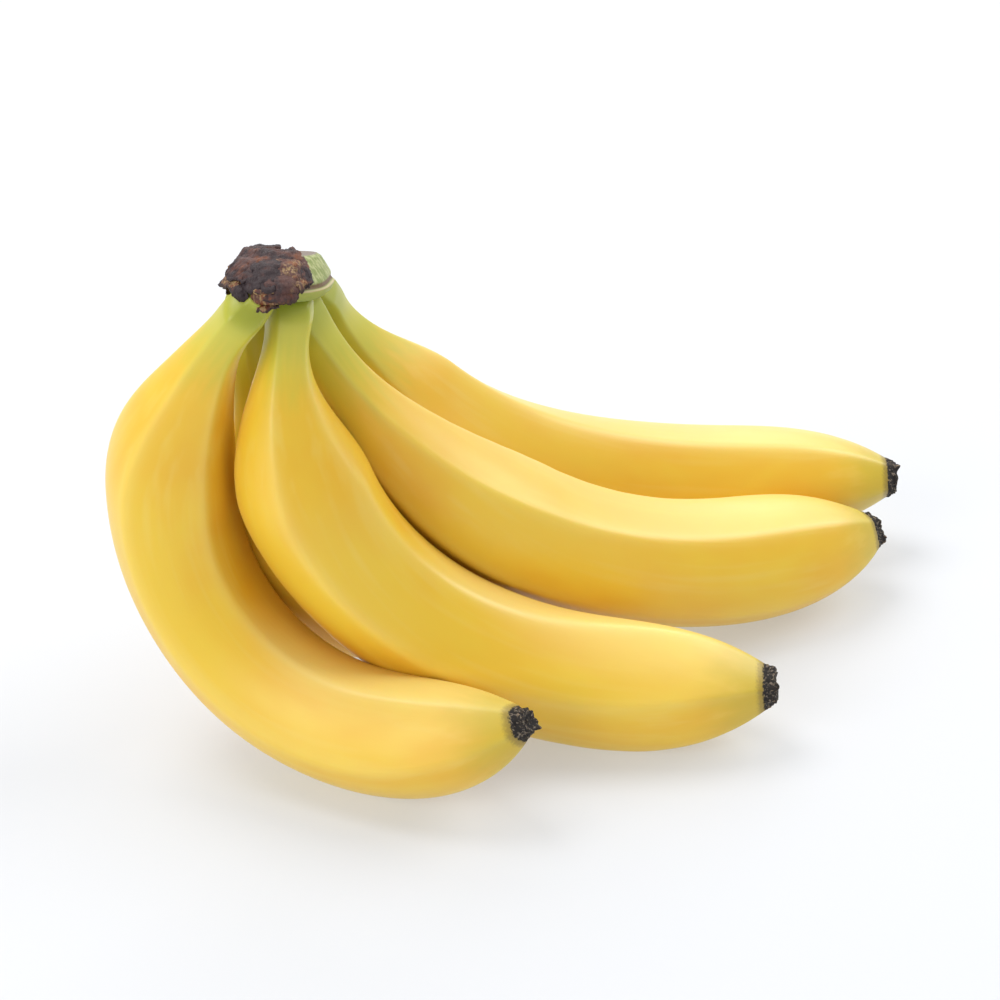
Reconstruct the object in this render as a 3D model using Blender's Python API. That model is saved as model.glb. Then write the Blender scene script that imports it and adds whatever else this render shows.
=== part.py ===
"""A bunch of five bananas on one crown, standing on a table.

Run with: blender --background --python part.py
Metres, +Z up. The table is z = 0, and the origin is in the middle of the bunch's footprint.
Each banana is a ring-by-ring skin round a bent centre line: a slim neck, a full body and a blunt tip.
The crown is the cushion that the necks grow from, and the dried husk is the sheath left on top of it.
"""
import bpy
import bmesh
import math
from mathutils import Matrix, Vector

# Driving dimensions, in metres and degrees.
NECK_RADIUS = 0.0055        # half the thickness of the stalk end of a banana
TIP_SHARE = 0.29            # radius of the blunt tip, as a share of the body's
TIP_TAPER = 0.060           # length over which the body narrows to its tip
TIP_FULLNESS = 3.3          # higher keeps the body full for longer before the tip
RIDGES = 5                  # lengthwise ridges of the peel
RIDGE_SHARPNESS = 0.34      # 0 is a round section, 1 a plain pentagon
FLAT_SHARE = 0.90           # how near a flat lies to the middle, where a ridge is at 1
SIDES = 20                  # points round a section, four to each flat
RINGS = 34                  # sections along a banana
STEPS_PER_RING = 6          # fine steps of the centre line between sections
PRESS = 0.0004              # how far the peel flattens where it bears on the table
GAP = 0.0003                # clearance between neighbouring solids
SHARP_ANGLE = 40            # edges bent by more than this stay sharp

# Where along a banana its centre line bends, as shares of its length.
BEND_FROM, BEND_FULL = 0.02, 0.12
EASE_FROM, EASE_FULL = 0.65, 1.00
NECK_BEND_SPREAD = 0.07

CROWN_MIDDLE = (-0.0552, -0.0855, 0.1300)
CROWN_TILT = -20            # the crown falls away to the back
CROWN_HALF_WIDTH = 0.0130
CROWN_HALF_LENGTH = 0.024
CROWN_SQUARENESS = 2.6      # 2 is an ellipse, higher is boxier
CROWN_SIDES = 36
CROWN_BRIM = 0.0014         # height of the crown's nearly upright side
# Height above the crown's widest section, and the share of that section, from the underside up.
CROWN_PROFILE = ((-0.0058, 0.40), (-0.0052, 0.66), (-0.0038, 0.86), (-0.0018, 0.97), (0.0, 1.00),
                 (CROWN_BRIM, 0.995), (0.0030, 0.98), (0.0056, 0.91), (0.0078, 0.81), (0.0091, 0.67), (0.0096, 0.38))

HUSK_THICKNESS = 0.0009
HUSK_FROM, HUSK_TO = 105, 300   # degrees round the crown, from its right side by way of the back
HUSK_COLUMNS = 26
HUSK_HEM = 0.0028           # lowest height of the husk on the crown
HUSK_RAG = 0.0012           # how far its hem rises and falls
HUSK_WAVES = ((5.0, 0.6, 0.0), (11.0, 0.4, 1.0))    # turns round the crown, share and start of each wave
HUSK_LIFT = 0.0005          # how far the husk stands off the crown's side
HUSK_LOOSE_FROM, HUSK_LOOSE_FULL = 0.006, 0.010     # heights between which its top comes looser

# One entry for each banana. The root is the middle of its neck, where it meets the crown, and a straight
# stalk behind it is trimmed by the crown. The centre line starts along the first heading and pitch and ends
# along the second, and the curl and the ease share the bend out along it.
BANANAS = {
    "banana_1": dict(root=(-0.0605, -0.1075, 0.137), heading=(-38, -21), pitch=(-131, 31), length=0.213,
                     neck_curl=-0.76, neck_bend=0.17, tip_ease=0.60, girth=0.0345, growth=-0.08,
                     neck=0.010, shoulder=0.062, stalk=0.003, bears=True),
    "banana_2": dict(root=(-0.052, -0.0945, 0.133), heading=(17, -10), pitch=(-98, 7), length=0.2065,
                     neck_curl=0.08, neck_bend=0.15, tip_ease=0.79, girth=0.0365, growth=0.04,
                     neck=0.009, shoulder=0.049, stalk=0.005, bears=True),
    "banana_3": dict(root=(-0.0515, -0.0815, 0.123), heading=(19, 25), pitch=(-62, 6), length=0.2225,
                     neck_curl=-0.53, neck_bend=0.21, tip_ease=0.39, girth=0.0370, growth=0.10,
                     neck=0.010, shoulder=0.089, stalk=0.005, bears=True),
    "banana_4": dict(root=(-0.048, -0.0655, 0.121), heading=(56, -2), pitch=(-58, 3.5), length=0.230,
                     neck_curl=0.28, neck_bend=0.16, tip_ease=0.53, girth=0.0341, growth=0.09,
                     neck=0.004, shoulder=0.052, stalk=0.0065, bears=False),
    "banana_5": dict(root=(-0.0665, -0.0725, 0.121), heading=(19, 33), pitch=(-89.5, 20), length=0.178,
                     neck_curl=-1.63, neck_bend=0.195, tip_ease=0.63, girth=0.0332, growth=-0.01,
                     neck=0.022, shoulder=0.075, stalk=0.005, bears=True),
}


def smooth(x):
    """Eases from 0 to 1."""
    x = min(max(x, 0.0), 1.0)
    return x * x * (3.0 - 2.0 * x)


def bend_rate(t, banana):
    """How fast the centre line bends at the share t of its length."""
    body = smooth((t - BEND_FROM) / (BEND_FULL - BEND_FROM))
    ease = banana["tip_ease"] * smooth((t - EASE_FROM) / (EASE_FULL - EASE_FROM))
    neck = banana["neck_curl"] * math.exp(-((t - banana["neck_bend"]) / NECK_BEND_SPREAD) ** 2)
    return body * (1.0 - ease) + neck


def centre_line(banana):
    """Points and directions along the middle of a banana, one for each ring."""
    steps = (RINGS - 1) * STEPS_PER_RING
    rates = [bend_rate((i + 0.5) / steps, banana) for i in range(steps)]
    whole = sum(rates)
    step = banana["length"] / steps
    first, last = (math.radians(a) for a in banana["pitch"])
    turn, turned = (math.radians(a) for a in banana["heading"])
    point = Vector(banana["root"])
    bent = 0.0
    rings = []
    for i in range(steps + 1):
        t = i / steps
        pitch = first + (last - first) * bent
        heading = turn + (turned - turn) * t
        ahead = Vector((math.cos(pitch) * math.cos(heading), math.cos(pitch) * math.sin(heading),
                        math.sin(pitch)))
        inward = Vector((-math.sin(pitch) * math.cos(heading), -math.sin(pitch) * math.sin(heading),
                         math.cos(pitch)))
        if i == 0:
            rings.append((t, point - ahead * banana["stalk"], ahead, inward))
        if i % STEPS_PER_RING == 0:
            rings.append((t, point.copy(), ahead, inward))
        if i < steps:
            bent += rates[i] / whole
            point = point + ahead * step
    return rings


def radius_at(t, banana):
    """Half thickness at the share t of the length: neck, shoulder, body, tip."""
    full = banana["girth"] / 2.0 * (1.0 + banana["growth"] * (t - 0.5))
    along = t * banana["length"]
    swell = smooth((along - banana["neck"]) / banana["shoulder"])
    left = min((banana["length"] - along) / TIP_TAPER, 1.0)
    taper = TIP_SHARE + (1.0 - TIP_SHARE) * (1.0 - (1.0 - left) ** TIP_FULLNESS)
    return min(NECK_RADIUS + (full - NECK_RADIUS) * swell, full * taper)


def section(angle):
    """A rounded pentagon: the distance from its middle, where 1 is a circle."""
    half = math.pi / RIDGES
    corner = (angle - math.pi) % (2.0 * half)
    flat = math.cos(half) / math.cos(corner - half)
    return 1.0 + RIDGE_SHARPNESS * (flat - FLAT_SHARE)


def peel(name, banana):
    """The closed skin of one banana."""
    bm = bmesh.new()
    loops = []
    for t, point, ahead, inward in centre_line(banana):
        across = ahead.cross(inward)
        radius = radius_at(t, banana)
        ring = []
        for k in range(SIDES):
            angle = 2.0 * math.pi * k / SIDES
            reach = radius * section(angle)
            out = inward * math.cos(angle) + across * math.sin(angle)
            ring.append(bm.verts.new(point + out * reach))
        loops.append(ring)
    for low, high in zip(loops, loops[1:]):
        for k in range(SIDES):
            nxt = (k + 1) % SIDES
            bm.faces.new((low[k], low[nxt], high[nxt], high[k]))
    bm.faces.new(list(reversed(loops[0])))
    bm.faces.new(loops[-1])
    bmesh.ops.recalc_face_normals(bm, faces=bm.faces)
    if banana["bears"]:
        press_on_table(bm)
    return finish_mesh(name, bm)


def press_on_table(bm):
    """Lets the skin down onto the table and flattens the little that would go through it."""
    lowest = min(v.co.z for v in bm.verts)
    for v in bm.verts:
        v.co.z -= lowest + PRESS
    cut = bmesh.ops.bisect_plane(bm, geom=bm.verts[:] + bm.edges[:] + bm.faces[:],
                                 plane_co=(0, 0, 0), plane_no=(0, 0, -1), clear_outer=True)
    rim = [e for e in cut["geom_cut"] if isinstance(e, bmesh.types.BMEdge)]
    bmesh.ops.holes_fill(bm, edges=rim)


def crown_ring(height, share, grow):
    """Points of one level section of the crown, in the crown's own axes."""
    points = []
    for k in range(CROWN_SIDES):
        angle = 2.0 * math.pi * k / CROWN_SIDES
        points.append(crown_point(angle, height, share, grow))
    return points


def crown_point(angle, height, share, grow):
    """A point of the crown's outline at an angle, grown outwards by a clearance."""
    power = 2.0 / CROWN_SQUARENESS
    x = math.copysign(abs(math.cos(angle)) ** power, math.cos(angle))
    y = math.copysign(abs(math.sin(angle)) ** power, math.sin(angle))
    return Vector((x * (CROWN_HALF_WIDTH * share + grow), y * (CROWN_HALF_LENGTH * share + grow), height))


def crown_axes():
    """Where the crown stands and how it leans."""
    return Matrix.Translation(CROWN_MIDDLE) @ Matrix.Rotation(math.radians(CROWN_TILT), 4, "X")


def crown_mesh(name, grow, husk_room):
    """The crown's closed skin, or the same skin grown by a clearance and by room for the husk above."""
    bm = bmesh.new()
    loops = []
    for height, share in CROWN_PROFILE:
        wider = grow + husk_room * smooth(height / CROWN_BRIM)
        ring = crown_ring(height + math.copysign(wider, height), share, wider)
        loops.append([bm.verts.new(point) for point in ring])
    for low, high in zip(loops, loops[1:]):
        for k in range(CROWN_SIDES):
            nxt = (k + 1) % CROWN_SIDES
            bm.faces.new((low[k], low[nxt], high[nxt], high[k]))
    bm.faces.new(list(reversed(loops[0])))
    bm.faces.new(loops[-1])
    return finish_mesh(name, bm)


def husk_mesh(name):
    """The dried sheath: a ragged sheet over the crown's top, back, left and front."""
    bm = bmesh.new()
    upper = [row for row in CROWN_PROFILE if row[0] > HUSK_HEM]
    columns = []
    for k in range(HUSK_COLUMNS + 1):
        angle = math.radians(HUSK_FROM + (HUSK_TO - HUSK_FROM) * k / HUSK_COLUMNS)
        rag = HUSK_RAG * sum(share * math.sin(turns * angle + start) for turns, share, start in HUSK_WAVES)
        column = [bm.verts.new(crown_point(angle, HUSK_HEM + rag, 1.0, 2.0 * GAP))]
        for height, share in upper:
            loose = smooth((height - HUSK_LOOSE_FROM) / (HUSK_LOOSE_FULL - HUSK_LOOSE_FROM))
            lift = HUSK_LIFT + 2.0 * GAP * loose
            column.append(bm.verts.new(crown_point(angle, height + lift, share, 2.0 * GAP)))
        columns.append(column)
    for left, right in zip(columns, columns[1:]):
        for j in range(len(left) - 1):
            bm.faces.new((left[j], right[j], right[j + 1], left[j + 1]))
    sheet = bpy.data.meshes.new(name)
    bm.to_mesh(sheet)
    bm.free()
    return sheet


def finish_mesh(name, bm):
    bmesh.ops.recalc_face_normals(bm, faces=bm.faces)
    mesh = bpy.data.meshes.new(name)
    bm.to_mesh(mesh)
    bm.free()
    return mesh


def material(name, colour, roughness):
    finish = bpy.data.materials.new(name)
    finish.use_nodes = True
    shader = finish.node_tree.nodes["Principled BSDF"]
    shader.inputs["Base Color"].default_value = (*colour, 1.0)
    shader.inputs["Roughness"].default_value = roughness
    shader.inputs["Metallic"].default_value = 0.0
    return finish


def clear_scene():
    for thing in list(bpy.data.objects):
        bpy.data.objects.remove(thing, do_unlink=True)


def add(name, mesh, finish):
    """Puts a mesh in the scene under its own name, with its finish."""
    thing = bpy.data.objects.new(name, mesh)
    bpy.context.scene.collection.objects.link(thing)
    mesh.materials.append(finish)
    mesh.shade_smooth()
    mesh.set_sharp_from_angle(angle=math.radians(SHARP_ANGLE))
    return thing


def trim_by(thing, cutter):
    """Takes the cutter's shape out of a thing."""
    cut = thing.modifiers.new("crown_clearance", "BOOLEAN")
    cut.operation = "DIFFERENCE"
    cut.solver = "EXACT"
    cut.object = cutter


def centre_on_origin(bunch, things):
    """Moves the bunch so that the middle of its footprint is at the origin."""
    bpy.context.view_layer.update()
    graph = bpy.context.evaluated_depsgraph_get()
    points = []
    for thing in things:
        shape = thing.evaluated_get(graph)
        points += [shape.matrix_world @ v.co for v in shape.data.vertices]
    for axis in (0, 1):
        along = [p[axis] for p in points]
        bunch.location[axis] -= (min(along) + max(along)) / 2.0


def main():
    clear_scene()
    green = material("green_rind", (0.45, 0.48, 0.25), 0.55)
    dry = material("dried_sheath", (0.08, 0.04, 0.035), 0.85)

    bunch = bpy.data.objects.new("bunch", None)
    bpy.context.scene.collection.objects.link(bunch)

    crown = add("crown", crown_mesh("crown", 0.0, 0.0), green)
    husk_room = HUSK_THICKNESS + 3.0 * GAP
    clearance = add("crown_clearance", crown_mesh("crown_clearance", GAP, husk_room), green)
    clearance.hide_render = True
    clearance.display_type = "WIRE"
    husk = add("dried_husk", husk_mesh("dried_husk"), dry)
    shell = husk.modifiers.new("shell", "SOLIDIFY")
    shell.thickness = HUSK_THICKNESS
    shell.offset = 1.0
    for thing in (crown, clearance, husk):
        thing.parent = bunch
        thing.matrix_basis = crown_axes()

    bananas = []
    for name, banana in BANANAS.items():
        thing = add(name, peel(name, banana), material("yellow_peel", (0.86, 0.60, 0.12), 0.45))
        thing.parent = bunch
        trim_by(thing, clearance)
        bananas.append(thing)

    centre_on_origin(bunch, bananas + [crown, husk])


main()
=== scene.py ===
import math
import bpy
import bmesh
from mathutils import Matrix, Vector, noise


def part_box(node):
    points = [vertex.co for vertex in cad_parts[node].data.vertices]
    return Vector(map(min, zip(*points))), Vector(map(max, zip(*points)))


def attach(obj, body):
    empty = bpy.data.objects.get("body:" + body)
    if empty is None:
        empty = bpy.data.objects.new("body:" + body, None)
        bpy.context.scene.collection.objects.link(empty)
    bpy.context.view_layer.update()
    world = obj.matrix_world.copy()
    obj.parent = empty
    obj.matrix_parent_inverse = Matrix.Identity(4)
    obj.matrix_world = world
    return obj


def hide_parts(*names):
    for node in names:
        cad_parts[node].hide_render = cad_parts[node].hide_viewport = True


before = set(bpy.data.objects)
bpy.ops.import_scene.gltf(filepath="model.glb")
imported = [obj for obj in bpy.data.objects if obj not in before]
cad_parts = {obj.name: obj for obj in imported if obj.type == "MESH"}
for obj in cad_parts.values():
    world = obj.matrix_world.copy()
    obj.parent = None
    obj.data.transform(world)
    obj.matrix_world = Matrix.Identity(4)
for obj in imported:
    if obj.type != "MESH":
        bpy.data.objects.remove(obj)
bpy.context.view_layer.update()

# A bunch of ripe bananas on one crown. Metres, +Z up, the table is z = 0.
# The bananas follow the bent centre lines of the frame's solids, with a finer skin.

bunch = dict(
    crownCentre=(-0.0552, -0.08525),   # middle of the crown's box before the bunch is centred
    press=0.0004,                      # how far the peel flattens on the table
)


def placeOfBunch():
    low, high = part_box("crown")
    middle = (low + high) / 2.0
    return Vector((middle.x - bunch["crownCentre"][0], middle.y - bunch["crownCentre"][1], 0.0))


bunchPlace = placeOfBunch()


# Small helpers.

def smooth(x):
    x = min(max(x, 0.0), 1.0)
    return x * x * (3.0 - 2.0 * x)


def mix(a, b, share):
    return a + (b - a) * share


def bell(x, width):
    return math.exp(-(x / width) ** 2)


def aside(angle, middle):
    # how far one angle is from another, from -180 to 180 degrees
    return (angle - middle + 180.0) % 360.0 - 180.0


def alongProfile(profile, share):
    # the values of a profile at a share of the way through its points
    place = share * (len(profile) - 1)
    i = min(int(place), len(profile) - 2)
    low, high = profile[i], profile[i + 1]
    return tuple(mix(a, b, place - i) for a, b in zip(low, high))


def rough(place, size, octaves=3):
    # soft noise of about -1 to 1, with features of the given size in metres
    return noise.fractal(Vector(place) / size, 1.0, 2.0, octaves)


def onlyThis(thing):
    bpy.ops.object.select_all(action="DESELECT")
    thing.select_set(True)
    bpy.context.view_layer.objects.active = thing


def addTube(name, sides, cuts):
    # a cylinder from z = 0 to 1, cut into rings one pass after the other
    bpy.ops.object.select_all(action="DESELECT")
    bpy.ops.mesh.primitive_cylinder_add(vertices=sides, radius=1.0, depth=1.0, location=(0.0, 0.0, 0.5))
    tube = bpy.context.object
    tube.name = name
    tube.data.name = name
    for number in cuts:
        bpy.ops.object.mode_set(mode="EDIT")
        bpy.ops.mesh.select_mode(type="EDGE")
        bpy.ops.mesh.select_all(action="DESELECT")
        shape = bmesh.from_edit_mesh(tube.data)
        for edge in shape.edges:
            first, second = (v.co for v in edge.verts)
            edge.select = abs(first.z - second.z) > 1e-4
        bmesh.update_edit_mesh(tube.data)
        bpy.ops.mesh.subdivide(number_cuts=number)
        bpy.ops.object.mode_set(mode="OBJECT")
    onlyThis(tube)
    bpy.ops.object.transform_apply(location=True, rotation=True, scale=True)
    return tube


def ringsOf(cuts):
    rings = 1
    for number in cuts:
        rings *= number + 1
    return rings


def setAttribute(thing, name, kind, values):
    layer = thing.data.attributes.new(name, kind, "POINT")
    key = "value" if kind == "FLOAT" else "vector"
    flat = values if kind == "FLOAT" else [part for value in values for part in value]
    layer.data.foreach_set(key, flat)


def finishPiece(thing, nodes):
    onlyThis(thing)
    bpy.ops.object.mode_set(mode="EDIT")
    bpy.ops.mesh.select_all(action="SELECT")
    bpy.ops.mesh.normals_make_consistent(inside=False)
    bpy.ops.object.mode_set(mode="OBJECT")
    bpy.ops.object.shade_smooth()
    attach(thing, "root")
    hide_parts(*nodes)


# Bananas.

skin = dict(
    sides=100, cuts=(13, 14), tipRings=26, crowding=0.6, lineSteps=396,
    neckRadius=0.0055, tipTaper=0.060, tipFullness=3.3, bellyWidth=60.0,
    ridges=5, sharpness=0.64, flatShare=0.885, ridgeSoftness=2.8, ridgeWidth=8.0,
    wave=0.012, waveSize=0.045, waveShift=7.0,
    flareLength=0.0045, dryLength=0.0019, dryFade=0.0012,
    crumple=0.00080, crumpleSize=0.0026, grain=0.00040, grainSize=0.0010,
    hornWidth=16.0, hornPlace=0.45, hornSpread=0.16,
    tuckFrom=0.005, tuckBy=0.0045, tuckThin=0.25, tuckRise=0.003,
    bendFrom=0.02, bendFull=0.12, easeFrom=0.65, neckBendSpread=0.07,
    # painted highlight: how far up a normal must point before the peel is painted paler, and the span over
    # which it grows
    paintedSheenFrom=0.50, paintedSheenSpan=0.48,
)

# How the dry flower end goes on past the peel: metres beyond its end, and the share of its radius.
tipProfile = (
    (0.0000, 1.00), (0.0003, 0.985), (0.0006, 0.97), (0.0010, 0.95), (0.0013, 0.90), (0.0015, 0.80),
    (0.0014, 0.66), (0.0011, 0.50), (0.0009, 0.34), (0.0010, 0.17), (0.0011, 0.02),
)

# root, heading, pitch and length are those of the frame's solids. Three of the stalks and banana_5's girth
# are larger, so that the skins meet where the solids keep clear of each other. twist turns the ridges, in
# degrees: at the neck, then what grows with the place along the fruit, then what grows with its square.
# belly is an angle, then a place and a spread along the fruit, then how much fuller it is there. horn is
# the angle and the length of one dry petal at the tip.
bananas = {
    "banana_1": dict(
        root=(-0.0605, -0.1075, 0.137), heading=(-38, -21), pitch=(-131, 31), length=0.213,
        neckCurl=-0.76, neckBend=0.17, tipEase=0.60, girth=0.0345, growth=-0.08, neck=0.010,
        shoulder=0.062, stalk=0.004, bears=True, flare=0.05, twist=(-16, 0, 0), greenReach=0.030,
        tipShare=0.22, horn=(200, 0.0010),
    ),
    "banana_2": dict(
        root=(-0.052, -0.0945, 0.133), heading=(17, -10), pitch=(-98, 7), length=0.2065,
        neckCurl=0.08, neckBend=0.15, tipEase=0.79, girth=0.0365, growth=0.04, neck=0.009,
        shoulder=0.049, stalk=0.005, bears=True, flare=0.30, twist=(20, -62, 0), greenReach=0.026,
        tipShare=0.28, horn=(60, 0.0010),
    ),
    "banana_3": dict(
        root=(-0.0515, -0.0815, 0.123), heading=(19, 25), pitch=(-62, 6), length=0.2225,
        neckCurl=-0.53, neckBend=0.21, tipEase=0.39, girth=0.0370, growth=0.10, neck=0.010,
        shoulder=0.089, stalk=0.008, bears=True, flare=0.30, twist=(-12, -125, 63), greenReach=0.036,
        belly=(190, 0.17, 0.16, 0.34), tipShare=0.285, horn=(100, 0.0010),
    ),
    "banana_4": dict(
        root=(-0.048, -0.0655, 0.121), heading=(56, -2), pitch=(-58, 3.5), length=0.230,
        neckCurl=0.28, neckBend=0.16, tipEase=0.53, girth=0.0341, growth=0.09, neck=0.004,
        shoulder=0.052, stalk=0.0065, bears=False, flare=0.30, twist=(-10, 0, 0), greenReach=0.040,
        tipShare=0.29, horn=(20, 0.0012),
    ),
    "banana_5": dict(
        root=(-0.0665, -0.0725, 0.121), heading=(19, 33), pitch=(-89.5, 20), length=0.178,
        neckCurl=-1.63, neckBend=0.195, tipEase=0.63, girth=0.0345, growth=-0.01, neck=0.022,
        shoulder=0.075, stalk=0.007, bears=True, flare=0.0, twist=(0, 0, 0), greenReach=0.055,
        belly=(150, 0.48, 0.35, 0.24), tipShare=0.29, horn=(150, 0.0014),
    ),
}


def bendRate(t, banana):
    body = smooth((t - skin["bendFrom"]) / (skin["bendFull"] - skin["bendFrom"]))
    ease = banana["tipEase"] * smooth((t - skin["easeFrom"]) / (1.0 - skin["easeFrom"]))
    neck = banana["neckCurl"] * bell(t - banana["neckBend"], skin["neckBendSpread"])
    return body * (1.0 - ease) + neck


def centreLine(banana):
    # points and directions along the middle of a banana, in fine steps
    steps = skin["lineSteps"]
    rates = [bendRate((i + 0.5) / steps, banana) for i in range(steps)]
    whole = sum(rates)
    step = banana["length"] / steps
    first, last = (math.radians(a) for a in banana["pitch"])
    turn, turned = (math.radians(a) for a in banana["heading"])
    point = Vector(banana["root"]) + bunchPlace
    bent = 0.0
    line = []
    for i in range(steps + 1):
        pitch = mix(first, last, bent)
        heading = mix(turn, turned, i / steps)
        ahead = Vector((math.cos(pitch) * math.cos(heading), math.cos(pitch) * math.sin(heading),
                        math.sin(pitch)))
        inward = Vector((-math.sin(pitch) * math.cos(heading), -math.sin(pitch) * math.sin(heading),
                         math.cos(pitch)))
        line.append((point.copy(), ahead, inward))
        if i < steps:
            bent += rates[i] / whole
            point = point + ahead * step
    return line


def stationAt(line, along, banana):
    # the centre line at a length along it, straight on past either end
    steps = len(line) - 1
    place = along / banana["length"] * steps
    i = int(min(max(math.floor(place), 0), steps - 1))
    share = place - i
    inside = min(max(share, 0.0), 1.0)
    point = line[i][0].lerp(line[i + 1][0], inside)
    ahead = line[i][1].lerp(line[i + 1][1], inside).normalized()
    inward = line[i][2].lerp(line[i + 1][2], inside).normalized()
    return point + ahead * (share - inside) * banana["length"] / steps, ahead, inward


def radiusAt(along, banana):
    length = banana["length"]
    t = along / length
    full = banana["girth"] / 2.0 * (1.0 + banana["growth"] * (t - 0.5))
    swell = smooth((along - banana["neck"]) / banana["shoulder"])
    left = min(max((length - along) / skin["tipTaper"], 0.0), 1.0)
    taper = banana["tipShare"] + (1.0 - banana["tipShare"]) * (1.0 - (1.0 - left) ** skin["tipFullness"])
    radius = min(skin["neckRadius"] + (full - skin["neckRadius"]) * swell, full * taper)
    return radius * (1.0 + banana["flare"] * math.exp(-max(along, 0.0) / skin["flareLength"]))


def ridgeAt(angle):
    # how far from the nearest ridge, in degrees, for a ridge at 180 degrees
    spacing = 360.0 / skin["ridges"]
    return (angle - 180.0 + spacing / 2.0) % spacing - spacing / 2.0


def sectionAt(angle):
    # a rounded pentagon, where 1 is a circle
    half = math.pi / skin["ridges"]
    away = math.radians(math.hypot(ridgeAt(angle), skin["ridgeSoftness"]))
    flat = math.cos(half) / math.cos(min(away, half) - half)
    return 1.0 + skin["sharpness"] * (flat - skin["flatShare"])


def bellyAt(t, angle, banana):
    if "belly" not in banana:
        return 1.0
    side, place, spread, extra = banana["belly"]
    return 1.0 + extra * bell(t - place, spread) * bell(aside(angle, side), skin["bellyWidth"])


def tuckIn(point, along, banana):
    # the neck's end drawn towards the heart of the crown: the moved point, and how far drawn from 0 to 1
    tuck = smooth((skin["tuckFrom"] - along) / (skin["tuckFrom"] + banana["stalk"]))
    heart = Vector(crown["middle"]) + bunchPlace + Vector((0.0, 0.0, skin["tuckRise"]))
    return point + (heart - point).normalized() * skin["tuckBy"] * tuck, tuck


def dryRelief(straight, past, angle, banana, out, ahead, dry):
    # the crumpled crust of the flower end, with one petal that stands up from it
    crust = skin["crumple"] * rough(straight, skin["crumpleSize"])
    crust += skin["grain"] * rough(straight, skin["grainSize"])
    hornAngle, hornLength = banana["horn"]
    horn = hornLength * bell(aside(angle, hornAngle), skin["hornWidth"])
    horn *= bell(past - skin["hornPlace"], skin["hornSpread"])
    return (out * 0.8 + ahead * 0.6) * crust * dry + (ahead + out * 0.5) * horn


def skinPoint(banana, line, i, bodyRings, angle):
    # place of one point of the skin, with its straightened place and its marks.
    # past runs from 0 at the peel's end to 1 at the middle of the flower end.
    length = banana["length"]
    past = max(i - bodyRings, 0) / skin["tipRings"]
    share = min(i / bodyRings, 1.0)
    eased = share - skin["crowding"] * math.sin(2.0 * math.pi * share) / (2.0 * math.pi)
    along = mix(-banana["stalk"], length, eased)
    beyond, shrink = alongProfile(tipProfile, past)
    t = along / length
    start, change, curve = banana["twist"]
    turned = angle - (start + change * t + curve * t * t)
    radius = radiusAt(along, banana) * sectionAt(turned) * shrink * bellyAt(t, angle, banana)
    point, ahead, inward = stationAt(line, along, banana)
    point, tuck = tuckIn(point, along, banana)
    radius *= 1.0 - skin["tuckThin"] * tuck
    across = ahead.cross(inward)
    spin = math.radians(angle)
    out = inward * math.cos(spin) + across * math.sin(spin)
    straight = Vector((radius * math.cos(spin), radius * math.sin(spin), along + beyond))
    ownPart = Vector((0.0, 0.0, length * skin["waveShift"]))
    radius *= 1.0 + skin["wave"] * rough(straight + ownPart, skin["waveSize"], 2)
    place = point + out * radius + ahead * beyond
    dry = smooth((along + beyond - (length - skin["dryLength"])) / skin["dryFade"])
    if dry > 0.0:
        place += dryRelief(straight, past, angle, banana, out, ahead, dry)
    # painted highlight: this mark is 1 on each ridge of the peel, where the colour is later made paler
    ridge = bell(ridgeAt(turned), skin["ridgeWidth"])
    return place, straight, (along, length - along - beyond, ridge)


def makeBanana(name, banana):
    peel = addTube("peel_" + name[-1], skin["sides"], skin["cuts"])
    rings = ringsOf(skin["cuts"])
    bodyRings = rings - skin["tipRings"]
    line = centreLine(banana)
    straights, marks = [], []
    for vertex in peel.data.vertices:
        i = round(vertex.co.z * rings)
        angle = math.degrees(math.atan2(vertex.co.y, vertex.co.x))
        place, straight, mark = skinPoint(banana, line, i, bodyRings, angle)
        vertex.co = place
        straights.append(straight)
        marks.append((mark[0] / banana["greenReach"], mark[1], mark[2]))
    if banana["bears"]:
        lowest = min(vertex.co.z for vertex in peel.data.vertices) + bunch["press"]
        for vertex in peel.data.vertices:
            vertex.co.z = max(vertex.co.z - lowest, 0.0)
    setAttribute(peel, "straight", "FLOAT_VECTOR", straights)
    setAttribute(peel, "marks", "FLOAT_VECTOR", marks)
    peel.data.update()
    # painted highlight: a share from 0 to 1 that grows as the skin faces upwards and makes the peel's colour
    # paler there
    upwards = [normal.vector.z for normal in peel.data.vertex_normals]
    paintedSheen = [smooth((up - skin["paintedSheenFrom"]) / skin["paintedSheenSpan"]) for up in upwards]
    setAttribute(peel, "paintedSheen", "FLOAT", paintedSheen)
    return peel


# Crown.

crown = dict(
    middle=(-0.0552, -0.0855, 0.1300), tilt=-20, halfWidth=0.0130, halfLength=0.024, squareness=2.6,
    sides=160, cuts=(8, 9),
    scarHeight=0.0032, scarWave=0.0008, scarDepth=0.0005, scarWidth=0.0006,
    lipRise=0.0004, lipBelow=0.0004, lipWidth=0.0003, bareFrom=284, bareTo=455, bareEdge=8.0,
    striations=46, striationDepth=0.00016, striationFade=0.002, lump=0.0003, lumpSize=0.009,
)

# Height above the widest section and the share of it, from the underside up to the middle of the cut top.
crownProfile = (
    (-0.0012, 0.02), (-0.0012, 0.48), (-0.0007, 0.70), (0.0002, 0.84), (0.0013, 0.94), (0.0026, 0.995),
    (0.0042, 0.97), (0.0062, 0.90), (0.0082, 0.82), (0.0098, 0.74), (0.0105, 0.66), (0.0104, 0.52),
    (0.0101, 0.30), (0.0100, 0.02),
)


def crownAxes():
    place = Matrix.Translation(Vector(crown["middle"]) + bunchPlace)
    return place @ Matrix.Rotation(math.radians(crown["tilt"]), 4, "X")


def crownOutline(angle):
    power = 2.0 / crown["squareness"]
    x = math.copysign(abs(math.cos(angle)) ** power, math.cos(angle)) * crown["halfWidth"]
    y = math.copysign(abs(math.sin(angle)) ** power, math.sin(angle)) * crown["halfLength"]
    return Vector((x, y, 0.0))


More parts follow.
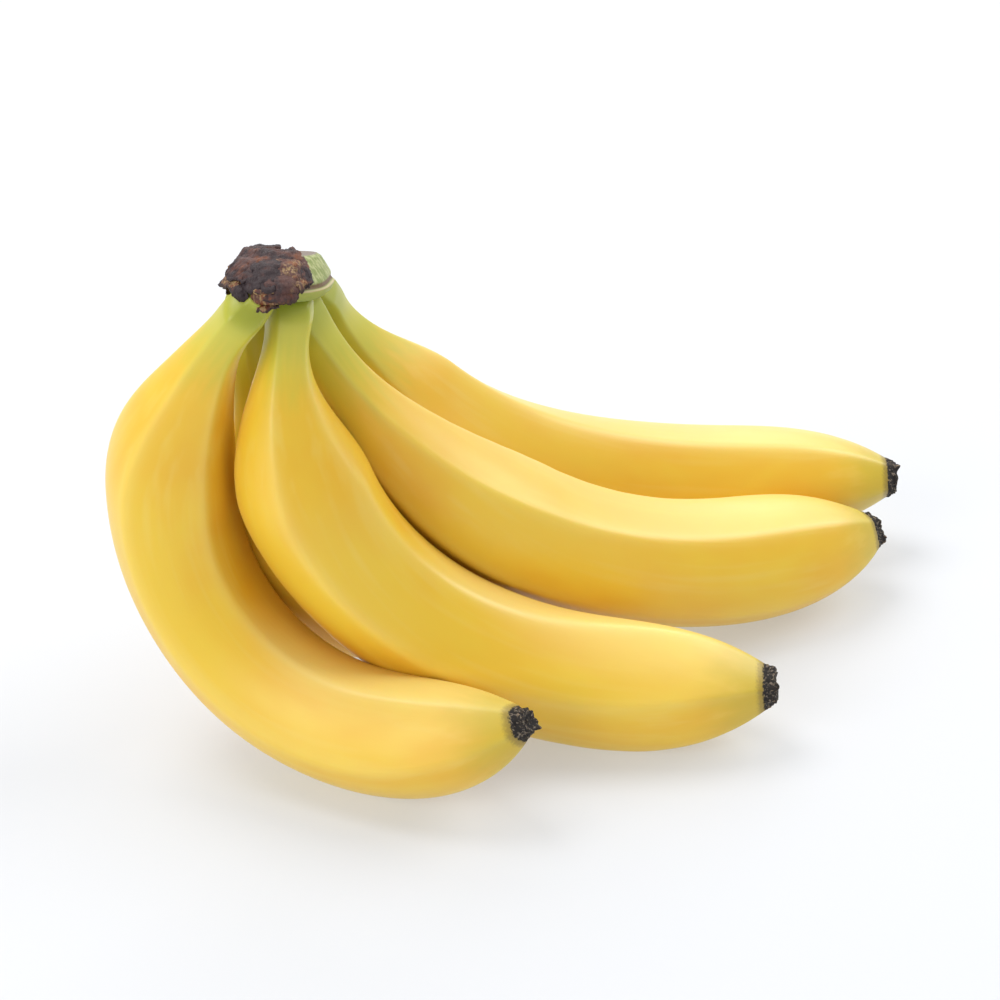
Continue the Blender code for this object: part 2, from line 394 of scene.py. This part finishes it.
def bareAt(angle):
    # 1 where no husk covers the rind, eased to 0 at both ends of the husk
    degrees = (math.degrees(angle) - crown["bareFrom"]) % 360.0 + crown["bareFrom"]
    fromStart = smooth((degrees - crown["bareFrom"]) / crown["bareEdge"])
    return fromStart * smooth((crown["bareTo"] - degrees) / crown["bareEdge"])


def rindRelief(place, angle, aboveScar, bare, share):
    # the ring scar with its lip, the fine upright lines and soft lumps
    groove = -crown["scarDepth"] * bell(aboveScar - crown["scarWidth"], crown["scarWidth"]) * bare
    lip = crown["lipRise"] * bell(aboveScar + crown["lipBelow"], crown["lipWidth"]) * bare
    lines = crown["striationDepth"] * math.sin(angle * crown["striations"])
    lines *= smooth(aboveScar / crown["striationFade"])
    lumps = crown["lump"] * rough(place, crown["lumpSize"], 2)
    return groove + lip + lines * smooth(share * 2.0 - 0.6) + lumps


def makeCrown():
    rind = addTube("crown_rind", crown["sides"], crown["cuts"])
    axes = crownAxes()
    marks = []
    for vertex in rind.data.vertices:
        angle = math.atan2(vertex.co.y, vertex.co.x)
        height, share = alongProfile(crownProfile, vertex.co.z)
        rim = crownOutline(angle)
        place = rim * share + Vector((0.0, 0.0, height))
        scar = crown["scarHeight"] + crown["scarWave"] * math.sin(angle * 2.0 + 0.6)
        aboveScar = height - scar
        bare = bareAt(angle)
        place += rim.normalized() * rindRelief(place, angle, aboveScar, bare, share)
        marks.append((aboveScar, bare, share))
        vertex.co = axes @ place
    setAttribute(rind, "marks", "FLOAT_VECTOR", marks)
    return rind


# Dry husk on the crown.

husk = dict(
    fromAngle=98, toAngle=306, columns=200, rows=60, thickness=0.0006, standOff=0.0006,
    relief=0.0009, reliefSize=0.0040, fine=0.00035, fineSize=0.0012, fold=0.00022, foldSize=0.006,
    sideWander=2.6, skirtShare=0.45, skirtDrop=0.0010, skirtRagged=0.0012, skirtFlare=0.7,
    overFrom=0.45, overSpan=0.25,
    flakeStep=0.00028, degreeStep=0.00040, sideRagged=0.09, hemRagged=0.13, cornerRound=0.30,
    flakeTuck=0.25, undersideHeight=0.002, undersideShare=0.35,
)

# Height and share of the crown's section under the sheath, from its hem to the middle of the top.
huskProfile = (
    (0.0042, 0.985), (0.0062, 0.905), (0.0082, 0.825), (0.0098, 0.745), (0.0107, 0.66), (0.0109, 0.54),
    (0.0107, 0.36),
)

# Loose flakes over the sheath: angles round the crown, heights of top and hem, how far they stand off,
# how far the hem curls out, and a tone from 0, nearly black, by way of 0.5, brown, to 1, tan.
flakes = (
    dict(between=(178, 206), top=0.0064, hem=0.0028, lift=0.0006, curl=0.0014, tone=0.30),
    dict(between=(190, 240), top=0.0088, hem=0.0026, lift=0.0010, curl=0.0006, tone=0.90),
    dict(between=(204, 266), top=0.0108, hem=0.0050, lift=0.0018, curl=0.0006, tone=0.35),
    dict(between=(226, 250), top=0.0046, hem=-0.0046, lift=0.0026, curl=0.0010, tone=0.02),
    dict(between=(253, 273), top=0.0044, hem=-0.0026, lift=0.0022, curl=0.0006, tone=1.05),
    dict(between=(266, 290), top=0.0070, hem=-0.0006, lift=0.0026, curl=0.0008, tone=0.45),
    dict(between=(246, 276), top=0.0104, hem=0.0022, lift=0.0022, curl=0.0006, tone=0.12),
    dict(between=(272, 300), top=0.0106, hem=0.0018, lift=0.0016, curl=0.0004, tone=0.70),
    dict(between=(288, 311), top=0.0102, hem=0.0036, lift=0.0009, curl=0.0002, tone=0.30),
    dict(between=(146, 180), top=0.0090, hem=-0.0006, lift=0.0012, curl=0.0008, tone=0.45),
    dict(between=(118, 150), top=0.0094, hem=0.0012, lift=0.0010, curl=0.0006, tone=0.15),
    dict(between=(96, 124), top=0.0088, hem=0.0004, lift=0.0009, curl=0.0010, tone=0.70),
)


def addSheet(name, columns, rows):
    # a grid from 0 to 1 each way
    bpy.ops.object.select_all(action="DESELECT")
    bpy.ops.mesh.primitive_grid_add(x_subdivisions=columns, y_subdivisions=rows, size=1.0,
                                    location=(0.5, 0.5, 0.0))
    sheet = bpy.context.object
    sheet.name = name
    sheet.data.name = name
    bpy.ops.object.transform_apply(location=True, rotation=True, scale=True)
    return sheet


def shareAt(height):
    # the crown's section at a height, from its profile
    for low, high in zip(crownProfile, crownProfile[1:]):
        if low[0] <= height <= high[0] and high[0] > low[0]:
            return mix(low[1], high[1], (height - low[0]) / (high[0] - low[0]))
    return crownProfile[2][1]


def crumple(place, degrees):
    # lumps, grain and upright folds of dry tissue
    lumps = husk["relief"] * abs(rough(place, husk["reliefSize"]))
    grain = husk["fine"] * rough(place, husk["fineSize"])
    folds = husk["fold"] * rough((degrees * 0.004, place.z * 0.12, 0.0), husk["foldSize"], 2)
    return lumps + grain + folds


def sheathPoint(across, up):
    wander = husk["sideWander"] * rough((0.0, up * 1.5, 3.0), 0.21, 4)
    degrees = mix(husk["fromAngle"], husk["toAngle"] + wander, across)
    height, share = alongProfile(huskProfile, up)
    skirt = smooth(1.0 - up / husk["skirtShare"])
    ragged = husk["skirtRagged"] * rough((degrees * 0.02, 0.0, 0.0), 0.09, 4)
    height -= (husk["skirtDrop"] + ragged) * skirt
    share = mix(share, 1.0, husk["skirtFlare"] * skirt)
    rim = crownOutline(math.radians(degrees))
    out = rim.normalized()
    place = rim * share + Vector((0.0, 0.0, height)) + out * husk["standOff"]
    over = smooth((up - husk["overFrom"]) / husk["overSpan"])
    way = out * (1.0 - over) + Vector((0.0, 0.0, 1.0)) * over
    return place + way * (crumple(place, degrees) + husk["standOff"] * over)


def flakePoint(flake, number, across, down):
    # down runs from 0 at the flake's top to 1 at its ragged hem
    first, last = flake["between"]
    side = (across - 0.5) * 2.0
    edge = husk["sideRagged"] * rough((number * 9.0, down * 1.2, side), 0.30, 4)
    degrees = mix(first, last, across + edge * side * smooth(abs(side) * 2.0 - 0.8))
    drop = flake["top"] - flake["hem"]
    corner = husk["cornerRound"] * max(abs(side) - 0.35, 0.0) ** 1.5
    teeth = husk["hemRagged"] * rough((across * 2.0, number * 5.0, 0.0), 0.33, 5)
    height = flake["top"] - drop * down * (1.0 - corner + teeth)
    share = shareAt(height)
    if height <= husk["undersideHeight"]:
        share = mix(shareAt(husk["undersideHeight"]), share, husk["undersideShare"])
    rim = crownOutline(math.radians(degrees))
    out = rim.normalized()
    bulge = (1.0 - side * side) * 0.5 + 0.5
    tuck = smooth(down / husk["flakeTuck"])
    off = husk["standOff"] * 0.5 + flake["lift"] * bulge * tuck + flake["curl"] * down ** 3
    place = rim * share + Vector((0.0, 0.0, height)) + out * off
    shifted = place + Vector((0.0, 0.0, number * 0.03))
    return place + out * crumple(shifted, degrees + number * 40.0) * (0.4 + 0.6 * tuck)


def addHuskPart(name, columns, rows, tone, pointAt):
    sheet = addSheet(name, columns, rows)
    axes = crownAxes()
    marks = []
    for vertex in sheet.data.vertices:
        across, up = vertex.co.x, vertex.co.y
        marks.append((across, up, tone))
        vertex.co = axes @ pointAt(across, up)
    setAttribute(sheet, "marks", "FLOAT_VECTOR", marks)
    wall = sheet.modifiers.new("wall", "SOLIDIFY")
    wall.thickness = husk["thickness"]
    wall.offset = 0.0
    onlyThis(sheet)
    bpy.ops.object.modifier_apply(modifier="wall")
    return sheet


def makeHusk():
    sheath = addHuskPart("husk_sheath", husk["columns"], husk["rows"], 0.3, sheathPoint)
    pieces = []
    for number, flake in enumerate(flakes):
        first, last = flake["between"]
        columns = int((last - first) * husk["degreeStep"] / husk["flakeStep"])
        rows = int((flake["top"] - flake["hem"]) / husk["flakeStep"])
        pieces.append(addHuskPart("husk_flake", columns, rows, flake["tone"],
                                  lambda u, v: flakePoint(flake, number + 1, u, 1.0 - v)))
    onlyThis(sheath)
    for piece in pieces:
        piece.select_set(True)
    bpy.ops.object.join()
    return sheath


# Materials.

def newMaterial(name):
    material = bpy.data.materials.new(name)
    material.use_nodes = True
    tree = material.node_tree
    return material, tree, tree.nodes["Principled BSDF"]


def addNode(tree, kind, **settings):
    node = tree.nodes.new(kind)
    for key, value in settings.items():
        setattr(node, key, value)
    return node


def feed(tree, socket, value):
    # a socket, or a plain number, vector or colour
    if isinstance(value, bpy.types.NodeSocket):
        tree.links.new(value, socket)
    else:
        socket.default_value = value


def math2(tree, operation, a, b):
    node = addNode(tree, "ShaderNodeMath", operation=operation)
    feed(tree, node.inputs[0], a)
    feed(tree, node.inputs[1], b)
    return node.outputs[0]


def span(tree, value, low, high, start=0.0, end=1.0):
    # an eased ramp of a value
    node = addNode(tree, "ShaderNodeMapRange", interpolation_type="SMOOTHSTEP")
    feed(tree, node.inputs["Value"], value)
    node.inputs["From Min"].default_value = low
    node.inputs["From Max"].default_value = high
    node.inputs["To Min"].default_value = start
    node.inputs["To Max"].default_value = end
    return node.outputs["Result"]


def blendColour(tree, share, a, b):
    node = addNode(tree, "ShaderNodeMix", data_type="RGBA")
    feed(tree, node.inputs[0], share)
    feed(tree, node.inputs[6], a)
    feed(tree, node.inputs[7], b)
    return node.outputs[2]


def noiseOf(tree, vector, scale, detail=3.0, roughness=0.5, stretch=(1.0, 1.0, 1.0)):
    placed = addNode(tree, "ShaderNodeMapping")
    feed(tree, placed.inputs["Vector"], vector)
    placed.inputs["Scale"].default_value = stretch
    node = addNode(tree, "ShaderNodeTexNoise")
    tree.links.new(placed.outputs["Vector"], node.inputs["Vector"])
    node.inputs["Scale"].default_value = scale
    node.inputs["Detail"].default_value = detail
    node.inputs["Roughness"].default_value = roughness
    return node.outputs[0]


def plantFibreGroup():
    # lengthwise fibres of plant tissue: their strength, and the surface normal they give
    group = bpy.data.node_groups.new("plantFibre", "ShaderNodeTree")
    for name, kind in (("Place", "NodeSocketVector"), ("Scale", "NodeSocketFloat"),
                       ("Length", "NodeSocketVector"), ("Strength", "NodeSocketFloat"),
                       ("Depth", "NodeSocketFloat")):
        group.interface.new_socket(name=name, in_out="INPUT", socket_type=kind)
    group.interface.new_socket(name="Fibres", in_out="OUTPUT", socket_type="NodeSocketFloat")
    group.interface.new_socket(name="Normal", in_out="OUTPUT", socket_type="NodeSocketVector")
    given = addNode(group, "NodeGroupInput")
    result = addNode(group, "NodeGroupOutput")
    drawn = addNode(group, "ShaderNodeVectorMath", operation="MULTIPLY")
    group.links.new(given.outputs["Place"], drawn.inputs[0])
    group.links.new(given.outputs["Length"], drawn.inputs[1])
    fibres = addNode(group, "ShaderNodeTexNoise")
    fibres.inputs["Detail"].default_value = 3.0
    fibres.inputs["Roughness"].default_value = 0.6
    group.links.new(drawn.outputs[0], fibres.inputs["Vector"])
    group.links.new(given.outputs["Scale"], fibres.inputs["Scale"])
    bump = addNode(group, "ShaderNodeBump")
    group.links.new(fibres.outputs[0], bump.inputs["Height"])
    group.links.new(given.outputs["Strength"], bump.inputs["Strength"])
    group.links.new(given.outputs["Depth"], bump.inputs["Distance"])
    group.links.new(fibres.outputs[0], result.inputs["Fibres"])
    group.links.new(bump.outputs["Normal"], result.inputs["Normal"])
    return group


plantFibre = plantFibreGroup()


def fibresOf(tree, place, scale, stretch, strength, depth):
    node = addNode(tree, "ShaderNodeGroup", node_tree=plantFibre)
    tree.links.new(place, node.inputs["Place"])
    node.inputs["Scale"].default_value = scale
    node.inputs["Length"].default_value = stretch
    node.inputs["Strength"].default_value = strength
    node.inputs["Depth"].default_value = depth
    return node.outputs["Fibres"], node.outputs["Normal"]


def readAttribute(tree, name):
    return addNode(tree, "ShaderNodeAttribute", attribute_name=name).outputs["Vector"]


def parts(tree, vector):
    node = addNode(tree, "ShaderNodeSeparateXYZ")
    tree.links.new(vector, node.inputs[0])
    return node.outputs[0], node.outputs[1], node.outputs[2]


peelLook = dict(
    yellow=(0.85, 0.570, 0.046, 1.0), warm=(0.83, 0.480, 0.032, 1.0), pale=(0.90, 0.70, 0.19, 1.0),
    green=(0.55, 0.53, 0.062, 1.0), deepGreen=(0.33, 0.37, 0.042, 1.0), olive=(0.50, 0.43, 0.045, 1.0),
    black=(0.018, 0.014, 0.012, 1.0), tan=(0.24, 0.19, 0.14, 1.0), singed=(0.16, 0.10, 0.03, 1.0),
    # first on the next line: the colour and the strength of the painted highlight on upward faces
    paintedSheen=(0.90, 0.75, 0.31, 1.0), paintedSheenShare=0.52, roughness=0.36, dryRoughness=0.85, specular=0.45,
    subsurface=0.18, subsurfaceRadius=(1.0, 0.6, 0.15), subsurfaceScale=0.004,
)


def peelMaterial():
    material, tree, shader = newMaterial("ripePeel")
    straight = readAttribute(tree, "straight")
    neckMark, toTip, ridge = parts(tree, readAttribute(tree, "marks"))
    clouds = noiseOf(tree, straight, 38.0, 3.0, 0.5, (1.0, 1.0, 0.45))
    fibreNormal = fibresOf(tree, straight, 900.0, (1.0, 1.0, 0.03), 0.10, 0.0003)[1]
    streaks = noiseOf(tree, straight, 260.0, 2.0, 0.5, (1.0, 1.0, 0.06))

    colour = blendColour(tree, span(tree, clouds, 0.35, 0.65), peelLook["yellow"], peelLook["warm"])
    # painted highlight: paler along every ridge of the peel
    colour = blendColour(tree, math2(tree, "MULTIPLY", ridge, 0.30), colour, peelLook["pale"])
    # painted highlight: the peel turns paler and whiter where it faces upwards, as a sheen from the lamps
    # above
    paintedSheen = addNode(tree, "ShaderNodeAttribute", attribute_name="paintedSheen").outputs["Fac"]
    paintedSheenAmount = math2(tree, "MULTIPLY", paintedSheen, peelLook["paintedSheenShare"])
    colour = blendColour(tree, paintedSheenAmount, colour, peelLook["paintedSheen"])
    colour = blendColour(tree, span(tree, streaks, 0.5, 0.75, 0.0, 0.18), colour, peelLook["pale"])
    # olive towards the tip and green at the neck, in lengthwise lobes
    wander = math2(tree, "MULTIPLY", math2(tree, "SUBTRACT", streaks, 0.5), 0.7)
    tipEdge = math2(tree, "ADD", toTip, math2(tree, "MULTIPLY", wander, 0.015))
    colour = blendColour(tree, span(tree, tipEdge, 0.022, 0.002, 0.0, 0.55), colour, peelLook["olive"])
    neckEdge = math2(tree, "ADD", neckMark, wander)
    colour = blendColour(tree, span(tree, neckEdge, 1.15, 0.25, 0.0, 0.92), colour, peelLook["green"])
    colour = blendColour(tree, span(tree, neckMark, 0.30, 0.0, 0.0, 0.75), colour, peelLook["deepGreen"])
    # the dry flower end
    specks = noiseOf(tree, straight, 1400.0, 3.0, 0.6)
    ragged = math2(tree, "ADD", toTip, math2(tree, "MULTIPLY", math2(tree, "SUBTRACT", specks, 0.5), 0.0016))
    dry = span(tree, ragged, 0.0020, 0.0014)
    crust = blendColour(tree, span(tree, specks, 0.52, 0.68), peelLook["black"], peelLook["tan"])
    colour = blendColour(tree, span(tree, ragged, 0.0040, 0.0022, 0.0, 0.6), colour, peelLook["singed"])
    colour = blendColour(tree, dry, colour, crust)
    tree.links.new(colour, shader.inputs["Base Color"])

    sheen = span(tree, clouds, 0.3, 0.7, peelLook["roughness"] - 0.03, peelLook["roughness"] + 0.05)
    dullness = addNode(tree, "ShaderNodeMix", data_type="FLOAT")
    feed(tree, dullness.inputs[0], dry)
    feed(tree, dullness.inputs[2], sheen)
    feed(tree, dullness.inputs[3], peelLook["dryRoughness"])
    tree.links.new(dullness.outputs[0], shader.inputs["Roughness"])
    tree.links.new(fibreNormal, shader.inputs["Normal"])
    shader.inputs["Subsurface Weight"].default_value = peelLook["subsurface"]
    shader.inputs["Subsurface Radius"].default_value = peelLook["subsurfaceRadius"]
    shader.inputs["Subsurface Scale"].default_value = peelLook["subsurfaceScale"]
    shader.inputs["Specular IOR Level"].default_value = peelLook["specular"]
    return material


rindLook = dict(
    pale=(0.46, 0.48, 0.21, 1.0), line=(0.24, 0.29, 0.075, 1.0), collar=(0.24, 0.32, 0.08, 1.0),
    collarPale=(0.42, 0.46, 0.11, 1.0), scar=(0.16, 0.09, 0.03, 1.0), lip=(0.60, 0.50, 0.26, 1.0),
    cut=(0.17, 0.12, 0.085, 1.0), roughness=0.55,
)


def rindMaterial():
    material, tree, shader = newMaterial("crownRind")
    place = addNode(tree, "ShaderNodeTexCoord").outputs["Object"]
    above, bare, share = parts(tree, readAttribute(tree, "marks"))
    lines, lineNormal = fibresOf(tree, place, 700.0, (1.0, 1.0, 0.12), 0.35, 0.0004)
    blotches = noiseOf(tree, place, 220.0, 3.0)
    rind = blendColour(tree, span(tree, lines, 0.42, 0.62), rindLook["line"], rindLook["pale"])
    below = blendColour(tree, blotches, rindLook["collar"], rindLook["collarPale"])
    colour = blendColour(tree, span(tree, above, 0.0, 0.0006), below, rind)
    groove = math2(tree, "MULTIPLY", span(tree, above, -0.0001, 0.0003), span(tree, above, 0.0015, 0.0009))
    colour = blendColour(tree, math2(tree, "MULTIPLY", groove, bare), colour, rindLook["scar"])
    lip = math2(tree, "MULTIPLY", span(tree, above, -0.0007, -0.0004), span(tree, above, 0.0001, -0.0002))
    colour = blendColour(tree, math2(tree, "MULTIPLY", lip, bare), colour, rindLook["lip"])
    flatTop = math2(tree, "MULTIPLY", span(tree, share, 0.70, 0.62), span(tree, above, 0.002, 0.004))
    colour = blendColour(tree, flatTop, colour, rindLook["cut"])
    tree.links.new(colour, shader.inputs["Base Color"])
    shader.inputs["Roughness"].default_value = rindLook["roughness"]
    tree.links.new(lineNormal, shader.inputs["Normal"])
    return material


huskLook = dict(
    dark=(0.026, 0.012, 0.015, 1.0), brown=(0.095, 0.034, 0.026, 1.0), tan=(0.36, 0.23, 0.10, 1.0),
    rust=(0.20, 0.060, 0.020, 1.0), roughness=0.62,
)


def huskMaterial():
    material, tree, shader = newMaterial("driedHusk")
    place = addNode(tree, "ShaderNodeTexCoord").outputs["Object"]
    up, tone = parts(tree, readAttribute(tree, "marks"))[1:]
    fibres, fibreNormal = fibresOf(tree, place, 1300.0, (1.0, 1.0, 0.10), 0.7, 0.0006)
    patches = noiseOf(tree, place, 230.0, 4.0, 0.6)
    rusty = noiseOf(tree, place, 300.0, 2.0, 0.5)
    tint = math2(tree, "ADD", tone, math2(tree, "MULTIPLY", math2(tree, "SUBTRACT", patches, 0.5), 1.6))
    colour = blendColour(tree, span(tree, tint, 0.15, 0.55), huskLook["dark"], huskLook["brown"])
    rust = math2(tree, "MULTIPLY", span(tree, rusty, 0.50, 0.66), span(tree, tint, 0.25, 0.60))
    colour = blendColour(tree, rust, colour, huskLook["rust"])
    threads = math2(tree, "MULTIPLY", span(tree, fibres, 0.44, 0.62), span(tree, tint, 0.55, 0.95))
    colour = blendColour(tree, threads, colour, huskLook["tan"])
    # the hem of the sheath and of each flake is charred
    hem = math2(tree, "ADD", up, math2(tree, "MULTIPLY", math2(tree, "SUBTRACT", rusty, 0.5), 0.2))
    colour = blendColour(tree, span(tree, hem, 0.13, 0.05, 0.0, 0.85), colour, huskLook["dark"])
    tree.links.new(colour, shader.inputs["Base Color"])
    shader.inputs["Roughness"].default_value = huskLook["roughness"]
    tree.links.new(fibreNormal, shader.inputs["Normal"])
    return material


# Build.

peel = peelMaterial()
for nodeName, banana in bananas.items():
    fruit = makeBanana(nodeName, banana)
    fruit.data.materials.append(peel)
    finishPiece(fruit, [nodeName])
    print("made", fruit.name)

rind = makeCrown()
rind.data.materials.append(rindMaterial())
finishPiece(rind, ["crown"])
print("made", rind.name)

sheath = makeHusk()
sheath.data.materials.append(huskMaterial())
finishPiece(sheath, ["dried_husk"])
print("made", sheath.name)


# Floor, light and camera.

studio = dict(
    elevation=29.0, distance=0.69, lens=80.0, sensorWidth=36.0, nearest=0.01, aimHeight=0.0232,
    floorSize=14.0, floorColour=(0.425, 0.44, 0.47, 1.0), floorGlow=0.36,
    floorRoughness=0.9,
    worldColour=(0.87, 0.935, 1.0, 1.0), worldStrength=0.45,
    lampColour=(1.0, 0.975, 0.94), lampAim=(0.0, 0.0, 0.05),
)

lamps = {
    # place and size in metres, power in watts
    "backSoftbox": dict(place=(-0.15, 1.35, 0.85), size=1.6, power=10.5),
    "sideSoftbox": dict(place=(1.15, 0.45, 1.05), size=1.2, power=14.0),
    "topSoftbox": dict(place=(-0.60, 0.25, 1.40), size=0.9, power=11.0),
    "frontSoftbox": dict(place=(-0.9, -1.0, 0.7), size=1.0, power=10.0),
}


def addFloor():
    bpy.ops.object.select_all(action="DESELECT")
    bpy.ops.mesh.primitive_plane_add(size=studio["floorSize"], location=(0.0, 0.0, 0.0))
    floor = bpy.context.object
    floor.name = "floor"
    material, _, shader = newMaterial("paleFloor")
    shader.inputs["Base Color"].default_value = studio["floorColour"]
    shader.inputs["Roughness"].default_value = studio["floorRoughness"]
    shader.inputs["Emission Color"].default_value = (1.0, 1.0, 1.0, 1.0)
    shader.inputs["Emission Strength"].default_value = studio["floorGlow"]
    floor.data.materials.append(material)


def addLamp(name, lamp):
    light = bpy.data.lights.new(name, "AREA")
    light.shape = "DISK"
    light.size = lamp["size"]
    light.energy = lamp["power"]
    light.color = studio["lampColour"]
    thing = bpy.data.objects.new(name, light)
    bpy.context.scene.collection.objects.link(thing)
    thing.location = lamp["place"]
    way = Vector(studio["lampAim"]) - Vector(lamp["place"])
    thing.rotation_euler = way.to_track_quat("-Z", "Y").to_euler()


def addWorld():
    world = bpy.data.worlds.new("studio")
    bpy.context.scene.world = world
    world.use_nodes = True
    background = world.node_tree.nodes["Background"]
    background.inputs["Color"].default_value = studio["worldColour"]
    background.inputs["Strength"].default_value = studio["worldStrength"]


def addCamera():
    lens = bpy.data.cameras.new("camera")
    lens.lens = studio["lens"]
    lens.sensor_width = studio["sensorWidth"]
    lens.clip_start = studio["nearest"]
    camera = bpy.data.objects.new("camera", lens)
    bpy.context.scene.collection.objects.link(camera)
    tilt = math.radians(studio["elevation"])
    back = Vector((0.0, -math.cos(tilt), math.sin(tilt))) * studio["distance"]
    camera.location = bunchPlace + Vector((0.0, 0.0, studio["aimHeight"])) + back
    camera.rotation_euler = (math.pi / 2.0 - tilt, 0.0, 0.0)
    bpy.context.scene.camera = camera


addFloor()
for lampName, lamp in lamps.items():
    addLamp(lampName, lamp)
addWorld()
addCamera()
bpy.context.scene.view_settings.view_transform = "Standard"
print("stage ready")
